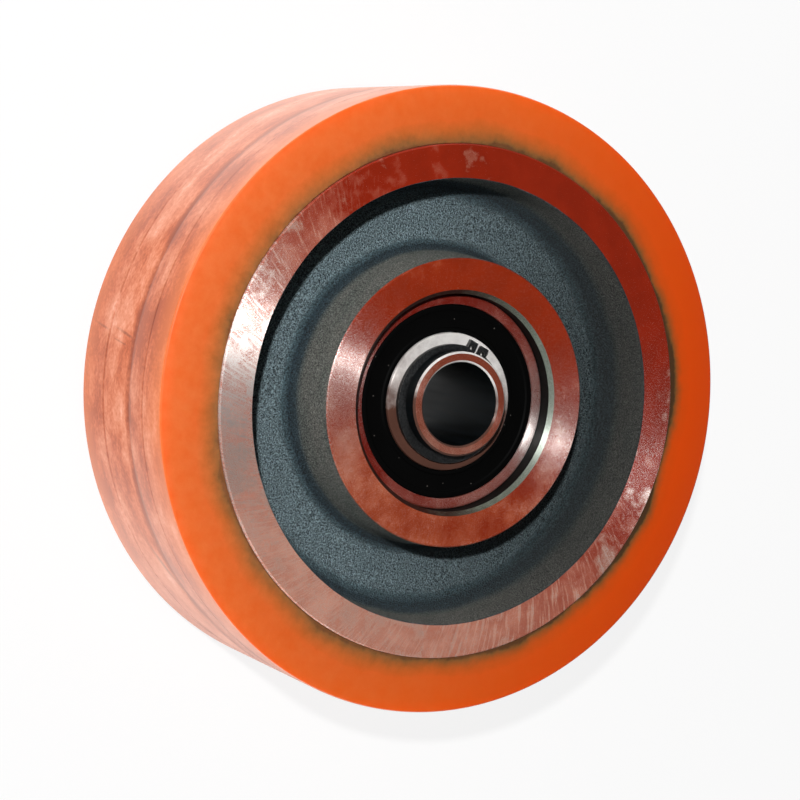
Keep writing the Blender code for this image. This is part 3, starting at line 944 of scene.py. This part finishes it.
paint_faces(hub, [rim_iron, sand_cast_iron, boss_iron, chamfer_iron, shaded_seat_iron], hub_finish)
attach(hub, "wheel")
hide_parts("hub")
print("hub has", len(hub.data.polygons), "faces")

# %% [markdown]
# Bearing steel. The rings are hardened, then ground, so they are the brightest metal on the
# wheel. Grinding runs round the ring, as turning does, but finer, so the same recipe is used
# with a lower roughness. The primer has left its trace on the outer ring, and less of it on
# the inner one. The outer ring is painted paler towards +X and +Y, where its highlight falls,
# and has extra bare crests along the Y axis: painted highlight. The inner ring is painted near
# white towards -X, which is painted reflection.

# %% Bearing steel
# Painted highlight: the lean makes the outer ring paler towards +X and +Y, and extra bare crests lie
# along the Y axis.
outer_ring_steel = make_turned_metal(
    "bearing steel, ground, trace of primer", bare="E6E0DC", film="6E1A10", dust="9A5648", cover=0.8,
    lean=(-0.1, -0.35), crests=0.05, roughness=0.4, bared_for_highlight=0.12, chips=0.1
)
# Painted reflection: the lean makes the inner ring near white towards -X.
inner_ring_steel = make_turned_metal(
    "bearing steel, ground", bare="F0ECE8", film="583A30", dust="F8F4F0", cover=0.85,
    lean=(1.0, 0.0), crests=-0.06, roughness=0.36
)
print("made", outer_ring_steel.name, "and", inner_ring_steel.name)

# %% [markdown]
# The bearings' rings. A sealed ball bearing has an outer and an inner ring, each with a groove
# for the balls, and in the outer ring a pocket on each side where a seal snaps in. All of this
# is in the section, so a cut through the wheel would look right too. Each ring is turned once
# for the front bearing. A copy, turned over about the X axis, serves the rear one.

# %% Bearing rings
RING_SIDES = 192  # facets round the rings, and round the seals, the sleeve and the circlips
BALL_RADIUS = 3.97 * MM
BALL_COUNT = 9
RACE_CLEARANCE = 0.1 * MM
RACE_POINTS = 9
RING_SPACING = 5.4 * MM
RING_ROUND = 0.9 * MM
INNER_RING_ROUND = 0.4 * MM
SEAL_RECESS = 0.5 * MM
SEAL_THICKNESS = 0.9 * MM
SEAL_POCKET = 1.4 * MM
POCKET_ROUND = 0.15 * MM
TURNED_OVER = (math.pi, 0, 0)

pitch_radius = (sleeve_radius + ring_radius) / 2
half_width = (bearing_top - bearing_bottom) / 2
seal_top = half_width - SEAL_RECESS
seal_bottom = seal_top - SEAL_THICKNESS
outer_shoulder = pitch_radius + RING_SPACING / 2
inner_shoulder = pitch_radius - RING_SPACING / 2
pocket_radius = outer_shoulder + SEAL_POCKET


def lifted(corners):
    """A section that was drawn about the bearing's own middle, lifted to where it sits."""
    return [(radius, height + bearing_middle, fillet) for radius, height, fillet in corners]


def race_corners(shoulder_radius):
    """The ball groove, from its upper to its lower edge, as points on an arc."""
    side = 1 if shoulder_radius > pitch_radius else -1
    race = BALL_RADIUS + RACE_CLEARANCE
    half_angle = math.acos(abs(shoulder_radius - pitch_radius) / race)
    angles = [half_angle * (1 - 2 * i / (RACE_POINTS - 1)) for i in range(RACE_POINTS)]
    return [(pitch_radius + side * race * math.cos(a), race * math.sin(a), 0) for a in angles]


def copy_piece(piece, name, angles):
    """A copy with its own mesh, turned about the wheel's middle."""
    pick(piece)
    bpy.ops.object.duplicate(linked=False)
    made = bpy.context.object
    made.name = name
    made.rotation_euler = angles
    bpy.ops.object.transform_apply(location=True, rotation=True, scale=True)
    return made


def place_pair(piece, name, material, body):
    """Gives a front bearing piece its finish and a rear copy, and tells the frame about both."""
    piece.data.materials.append(material)
    pair = {"front": piece, "rear": copy_piece(piece, "rear_" + name, TURNED_OVER)}
    for place, made in pair.items():
        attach(made, body)
        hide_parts(f"{place}_bearing_{name}")


outer_upper = [
    (ring_radius, half_width, RING_ROUND),
    (pocket_radius, half_width, POCKET_ROUND),
    (pocket_radius, seal_bottom - HAIRLINE, 0),
    (outer_shoulder, seal_bottom - HAIRLINE, 0),
]
outer_section = lifted(outer_upper + race_corners(outer_shoulder) + mirrored(outer_upper))
outer_ring = turn_piece("front_outer_ring", outer_section, RING_SIDES)
place_pair(outer_ring, "outer_ring", outer_ring_steel, "wheel")

inner_upper = [
    (sleeve_radius + HAIRLINE, half_width, INNER_RING_ROUND),
    (inner_shoulder, half_width, INNER_RING_ROUND),
]
inner_section = lifted(inner_upper + race_corners(inner_shoulder) + mirrored(inner_upper))
inner_ring = turn_piece("front_inner_ring", inner_section, RING_SIDES)
place_pair(inner_ring, "inner_ring", inner_ring_steel, "axle")

# %% [markdown]
# Nitrile rubber. The seals are moulded in black rubber over a steel disc. Black rubber returns
# little light, so what shows is a faint sheen from the mould and a few specks of dust, which
# are the rare cells of a cell pattern where a random value runs high.

# %% Nitrile rubber
SPECK_CELL = 1.3 * MM
SPECK_RARITY = 0.9  # only cells whose random value is higher hold a speck


def make_nitrile_rubber():
    material, shader, place, add = new_material("nitrile rubber, moulded")
    cells = add("TexVoronoi", {"Vector": place, "Scale": 1 / SPECK_CELL})
    luck = add("SeparateColor", [cells.outputs["Color"]])
    chosen = add("Math", [luck, SPECK_RARITY], "GREATER_THAN")
    close = add("MapRange", [cells, 0.06, 0.16, 0.75, 0])
    speck = add("Math", [chosen, close], "MULTIPLY")
    cloud = add("TexNoise", [place, 1 / (4 * MM), 4.0])
    grain = add("TexNoise", [place, 1 / (0.4 * MM), 2.0])
    feed(shader, {
        "Base Color": add("Mix", [speck, "020202", "6A6560"], data_type="RGBA"),
        "Roughness": add("MapRange", [cloud, 0, 1, 0.5, 0.75]),
        "IOR": 1.5,
        "Specular IOR Level": 0.05,
        "Normal": add("Bump", {"Height": grain, "Strength": 0.3, "Distance": 0.03 * MM}),
    })
    return material


nitrile_rubber = make_nitrile_rubber()
print("made", nitrile_rubber.name)

# %% [markdown]
# The seals. Each is a thin disc with a thick bead that snaps into the outer ring, a shallow
# dish, and a lip that brushes the inner ring. The front bearing's two seals face opposite
# ways: the inside one is the outside one turned over about the bearing's own middle.

# %% Seals
SEAL_BEAD = 1.4 * MM
SEAL_DISH = 0.3 * MM
SEAL_LIP = 0.9 * MM
LIP_CLEARANCE = 0.15 * MM

bead_edge = pocket_radius - HAIRLINE
lip_edge = inner_shoulder + LIP_CLEARANCE
seal_section = [
    (bead_edge, seal_bottom, 0),
    (bead_edge, seal_top, 0.25 * MM),
    (bead_edge - SEAL_BEAD, seal_top, 0.2 * MM),
    (bead_edge - SEAL_BEAD - SEAL_DISH, seal_top - SEAL_DISH, 0.12 * MM),
    (lip_edge + SEAL_LIP + SEAL_DISH, seal_top - SEAL_DISH, 0.12 * MM),
    (lip_edge + SEAL_LIP, seal_top, 0.2 * MM),
    (lip_edge, seal_top, 0.15 * MM),
    (lip_edge, seal_bottom, 0),
]
for name, section in (("outside_seal", seal_section), ("inside_seal", mirrored(seal_section))):
    seal = turn_piece("front_" + name, lifted(section), RING_SIDES)
    place_pair(seal, name, nitrile_rubber, "wheel")

# %% [markdown]
# The balls. A ball is lapped to a mirror. It starts as a cube, is subdivided, and is pushed
# out to a sphere, which gives even faces and no poles. The first ball is copied round each
# bearing.

# %% Balls
BALL_LEVELS = 4


def make_ball_steel():
    material, shader, place, add = new_material("bearing steel, lapped")
    film = add("TexNoise", [place, 1 / (2 * MM), 3.0])
    gloss = add("MapRange", [film, 0, 1, 0.05, 0.14])
    feed(shader, {"Base Color": "CFCFD0", "Metallic": 1.0, "Roughness": gloss})
    return material


def make_ball(name, spot):
    bpy.ops.object.select_all(action="DESELECT")
    bpy.ops.mesh.primitive_cube_add(size=2 * BALL_RADIUS)
    ball = bpy.context.object
    ball.name = name
    smooth = ball.modifiers.new("smooth", "SUBSURF")
    smooth.levels = BALL_LEVELS
    smooth.render_levels = BALL_LEVELS
    bpy.ops.object.modifier_apply(modifier="smooth")
    swell = ball.modifiers.new("swell", "CAST")
    swell.factor = 1.0
    swell.size = BALL_RADIUS
    swell.use_radius_as_size = False
    bpy.ops.object.modifier_apply(modifier="swell")
    bpy.ops.object.shade_smooth()
    ball.location = spot
    bpy.ops.object.transform_apply(location=True, rotation=True, scale=True)
    return ball


first_ball = make_ball("front_ball_1", (pitch_radius, 0, bearing_middle))
first_ball.data.materials.append(make_ball_steel())
for number in range(1, BALL_COUNT + 1):
    turn = 2 * math.pi * (number - 1) / BALL_COUNT
    for place, angles in (("front", (0, 0, turn)), ("rear", (math.pi, 0, -turn))):
        ball = first_ball
        if (place, number) != ("front", 1):
            ball = copy_piece(first_ball, f"{place}_ball_{number}", angles)
        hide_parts(f"{place}_bearing_ball_{number}")
# The balls ride on their bodies only now, so that no copy is made of one that already does.
for number in range(1, BALL_COUNT + 1):
    for place in ("front", "rear"):
        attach(bpy.data.objects[f"{place}_ball_{number}"], f"{place}_ball_set")
print("balls:", 2 * BALL_COUNT, "of", len(first_ball.data.polygons), "faces")

# %% [markdown]
# The cages. A cage keeps the balls apart. It is polyamide, ivory and satin as it leaves its
# mould: a ring with round pockets that grip the balls, so a turned ring has slightly larger
# balls cut out of it. Balls and cages are hidden behind the seals, but the bearing wouldn't
# run without them.

# %% Cages
CAGE_SIDES = 144
POCKET_SIDES = 32
CAGE_HALF_WALL = 1.2 * MM
CAGE_ARM = 1.6 * MM
CAGE_TOP_CLEARANCE = 0.5 * MM
POCKET_CLEARANCE = 0.3 * MM


def make_polyamide():
    material, shader, place, add = new_material("polyamide, moulded")
    cloud = add("TexNoise", [place, 1 / (3 * MM), 4.0])
    tint = add("ValToRGB", [cloud], stops=[(0.3, "BDB292"), (0.7, "D6CCB0")])
    grain = add("TexNoise", [place, 1 / (0.5 * MM), 2.0])
    bump = add("Bump", {"Height": grain, "Strength": 0.3, "Distance": 0.03 * MM})
    feed(shader, {"Base Color": tint, "Roughness": 0.45, "IOR": 1.53, "Normal": bump})
    return material


def combine(piece, operation, tool):
    """Joins a tool shape to the piece, or cuts it away, and clears the tool."""
    change = piece.modifiers.new(operation, "BOOLEAN")
    change.operation = operation
    change.object = tool
    change.solver = "EXACT"
    pick(piece)
    bpy.ops.object.modifier_apply(modifier=operation)
    bpy.data.objects.remove(tool)


cage_top = seal_bottom - CAGE_TOP_CLEARANCE
cage_section = [
    (pitch_radius + CAGE_HALF_WALL, -CAGE_ARM, 0.2 * MM),
    (pitch_radius + CAGE_HALF_WALL, cage_top, 0.3 * MM),
    (pitch_radius - CAGE_HALF_WALL, cage_top, 0.3 * MM),
    (pitch_radius - CAGE_HALF_WALL, -CAGE_ARM, 0.2 * MM),
]
cage = turn_piece("front_cage", lifted(cage_section), CAGE_SIDES)
bpy.ops.object.select_all(action="DESELECT")
for number in range(BALL_COUNT):
    turn = 2 * math.pi * number / BALL_COUNT
    spot = (pitch_radius * math.cos(turn), pitch_radius * math.sin(turn), bearing_middle)
    bpy.ops.mesh.primitive_uv_sphere_add(
        segments=POCKET_SIDES, ring_count=POCKET_SIDES // 2, radius=BALL_RADIUS + POCKET_CLEARANCE,
        location=spot,
    )
    if number:
        pockets.select_set(True)
        bpy.context.view_layer.objects.active = pockets
        bpy.ops.object.join()
    pockets = bpy.context.object
    pockets.name = "ball_pockets"
combine(cage, "DIFFERENCE", pockets)
bpy.ops.object.shade_smooth_by_angle(angle=CRISP_ANGLE)
cage.data.materials.clear()
cage.data.materials.append(make_polyamide())
for place, made in (("front", cage), ("rear", copy_piece(cage, "rear_cage", TURNED_OVER))):
    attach(made, f"{place}_ball_set")
    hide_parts(f"{place}_bearing_cage")
print("cage has", len(cage.data.polygons), "faces")

# %% [markdown]
# The axle sleeve. A length of steel tube, faced and chamfered at both ends and grooved for the
# circlips. The ends are turned, with a warm trace of primer on bright steel, painted redder
# towards -X as painted reflection. The walls and the bore are painted nearly black, as painted
# shade over the dark skin of drawn tube, with a dull gloss, so that finish isn't metallic.

# %% Axle sleeve
SLEEVE_BORE = 10 * MM
END_CHAMFER = 0.45 * MM
BORE_EDGE_CHAMFER = 0.4 * MM
END_ROUND = 0.1 * MM
GROOVE_DEPTH = 0.55 * MM
GROOVE_WIDTH = 1.6 * MM
WALL_RISE, END_RISE = 0.3, 0.95  # a wall's normal rises less than the first, an end's more

# Painted reflection: the lean makes the sleeve's ends redder towards -X.
sleeve_steel = make_turned_metal(
    "steel, turned, film of red primer", bare="E4D4C8", film="7E3A28", dust="A06A58", cover=0.85,
    lean=(-0.2, 0.1), crests=0.05, roughness=0.42
)


def make_shaded_drawn_tube():
    material, shader, place, add = new_material("drawn steel tube, painted near black as shade")
    drawn = add("Mapping", {"Vector": place, "Scale": (1, 1, 0.08)})
    lines = add("TexNoise", [drawn, 1 / (1.2 * MM), 4.0])
    # Painted shade: the tube's walls and bore are painted nearly black.
    tint = add("ValToRGB", [lines], stops=[(0.3, "020303"), (0.75, "0C1114")])
    gloss = add("MapRange", [lines, 0, 1, 0.25, 0.5])
    feed(shader, {"Base Color": tint, "Roughness": gloss, "Specular IOR Level": 0.12})
    return material


def sleeve_finish(radius, height, normal):
    """Drawn skin on the walls, turned steel on the ends, and bare steel on the chamfers."""
    if abs(normal.z) < WALL_RISE:
        return 1
    return 0 if abs(normal.z) > END_RISE else 2


sleeve_upper = [
    (sleeve_radius, bearing_top, 0),
    (sleeve_radius - GROOVE_DEPTH, bearing_top, 0),
    (sleeve_radius - GROOVE_DEPTH, bearing_top + GROOVE_WIDTH, 0),
    (sleeve_radius, bearing_top + GROOVE_WIDTH, 0),
    (sleeve_radius, sleeve_end - END_CHAMFER, END_ROUND),
    (sleeve_radius - END_CHAMFER, sleeve_end, END_ROUND),
    (SLEEVE_BORE + BORE_EDGE_CHAMFER, sleeve_end, END_ROUND),
    (SLEEVE_BORE, sleeve_end - BORE_EDGE_CHAMFER, 0),
]
sleeve = turn_piece("turned_sleeve", sleeve_upper + mirrored(sleeve_upper), RING_SIDES)
paint_faces(sleeve, [sleeve_steel, make_shaded_drawn_tube(), inner_ring_steel], sleeve_finish)
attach(sleeve, "axle")
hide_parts("axle_sleeve")

# %% [markdown]
# Spring steel. Circlips are phosphated against rust, which leaves fine crystals: a dark grey
# that is duller than bare steel. Where tools and handling rub the stamped edges, the phosphate
# goes and a thin bright line appears, so the edges have a finish of their own.

# %% Spring steel
def make_phosphated_steel():
    material, shader, place, add = new_material("spring steel, phosphated")
    crystals = add("TexNoise", [place, 1 / (0.5 * MM), 4.0])
    tint = add("ValToRGB", [crystals], stops=[(0.3, "1E1F20"), (0.7, "3A3B3C")])
    bump = add("Bump", {"Height": crystals, "Strength": 0.3, "Distance": 0.02 * MM})
    feed(shader, {"Base Color": tint, "Metallic": 0.7, "Roughness": 0.42, "Normal": bump})
    return material


def make_worn_edge():
    material, shader, place, add = new_material("spring steel, edge worn bright")
    rubs = add("TexNoise", [place, 1 / (1.5 * MM), 3.0])
    tint = add("ValToRGB", [rubs], stops=[(0.35, "4A4846"), (0.6, "A39E99")])
    feed(shader, {"Base Color": tint, "Metallic": 0.9, "Roughness": 0.3})
    return material


phosphated_steel = make_phosphated_steel()
worn_edge = make_worn_edge()
print("made", phosphated_steel.name, "and", worn_edge.name)

# %% [markdown]
# The circlips. A circlip is stamped from spring steel: a ring that is widest opposite its gap,
# so that it bends evenly, with a lug on each side of the gap and a hole in each lug for the
# pliers. It is built as a press tool would cut it, from an off-centre disc, less the bore and
# the gap, with the lugs joined on first. The bevel that finishes the piece has the worn steel.

# %% Circlips
CIRCLIP_WIDEST = 2.5 * MM
CIRCLIP_NARROWEST = 1.7 * MM
CIRCLIP_GAP = 1.1 * MM
CIRCLIP_PLAY = 0.2 * MM
CIRCLIP_EDGE = 0.1 * MM
LUG_HEIGHT = 3.3 * MM
LUG_WIDTH = 2.2 * MM
LUG_HOLE = 0.55 * MM
HOLE_SIDES = 32
STAMPED_ANGLE = math.radians(40)  # edges that turn by more than this are bevelled
FRONT_TURN = math.radians(164)
REAR_TURN = math.radians(20)

clip_bottom, clip_top = heights_of("front_circlip")
clip_middle = (clip_bottom + clip_top) / 2
clip_thickness = clip_top - clip_bottom
clip_bore = sleeve_radius - GROOVE_DEPTH + CIRCLIP_PLAY
lug_radius = clip_bore + LUG_HEIGHT


def add_disc(radius, thickness, spot, sides):
    bpy.ops.object.select_all(action="DESELECT")
    bpy.ops.mesh.primitive_cylinder_add(vertices=sides, radius=radius, depth=thickness, location=spot)
    return bpy.context.object


def add_block(size, spot):
    bpy.ops.object.select_all(action="DESELECT")
    bpy.ops.mesh.primitive_cube_add(size=1, location=spot)
    block = bpy.context.object
    block.dimensions = size
    bpy.ops.object.transform_apply(location=False, rotation=False, scale=True)
    return block


def make_circlip(name):
    off_centre = (CIRCLIP_NARROWEST - CIRCLIP_WIDEST) / 2
    disc_radius = clip_bore + (CIRCLIP_NARROWEST + CIRCLIP_WIDEST) / 2
    clip = add_disc(disc_radius, clip_thickness, (off_centre, 0, clip_middle), RING_SIDES)
    clip.name = name
    reach = lug_radius - clip_bore / 2
    lugs = add_block(
        (reach, CIRCLIP_GAP + 2 * LUG_WIDTH, clip_thickness), (lug_radius - reach / 2, 0, clip_middle)
    )
    combine(clip, "UNION", lugs)
    tall = clip_thickness * 3
    combine(clip, "DIFFERENCE", add_disc(clip_bore, tall, (0, 0, clip_middle), RING_SIDES))
    combine(clip, "DIFFERENCE", add_block((clip_bore, CIRCLIP_GAP, tall), (lug_radius, 0, clip_middle)))
    for side in (-1, 1):
        spot = (clip_bore + LUG_HEIGHT / 2, side * (CIRCLIP_GAP + LUG_WIDTH) / 2, clip_middle)
        combine(clip, "DIFFERENCE", add_disc(LUG_HOLE, tall, spot, HOLE_SIDES))
    return clip


def finish_circlip(clip, turn, over):
    bpy.ops.object.transform_apply(location=True, rotation=True, scale=True)
    clip.rotation_euler = (over, 0, turn)
    bpy.ops.object.transform_apply(location=True, rotation=True, scale=True)
    clip.data.materials.clear()
    clip.data.materials.append(phosphated_steel)
    clip.data.materials.append(worn_edge)
    for face in clip.data.polygons:
        face.material_index = 0
    edge = clip.modifiers.new("worn edge", "BEVEL")
    edge.width = CIRCLIP_EDGE
    edge.segments = 2
    edge.limit_method = "ANGLE"
    edge.angle_limit = STAMPED_ANGLE
    edge.material = 1
    bpy.ops.object.modifier_apply(modifier="worn edge")
    bpy.ops.object.shade_smooth_by_angle(angle=CRISP_ANGLE)


for place, turn, over in (("front", FRONT_TURN, 0), ("rear", -REAR_TURN, math.pi)):
    clip = make_circlip(f"{place}_retaining_ring")
    finish_circlip(clip, turn, over)
    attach(clip, "axle")
    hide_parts(f"{place}_circlip")
    print(clip.name, "has", len(clip.data.polygons), "faces")
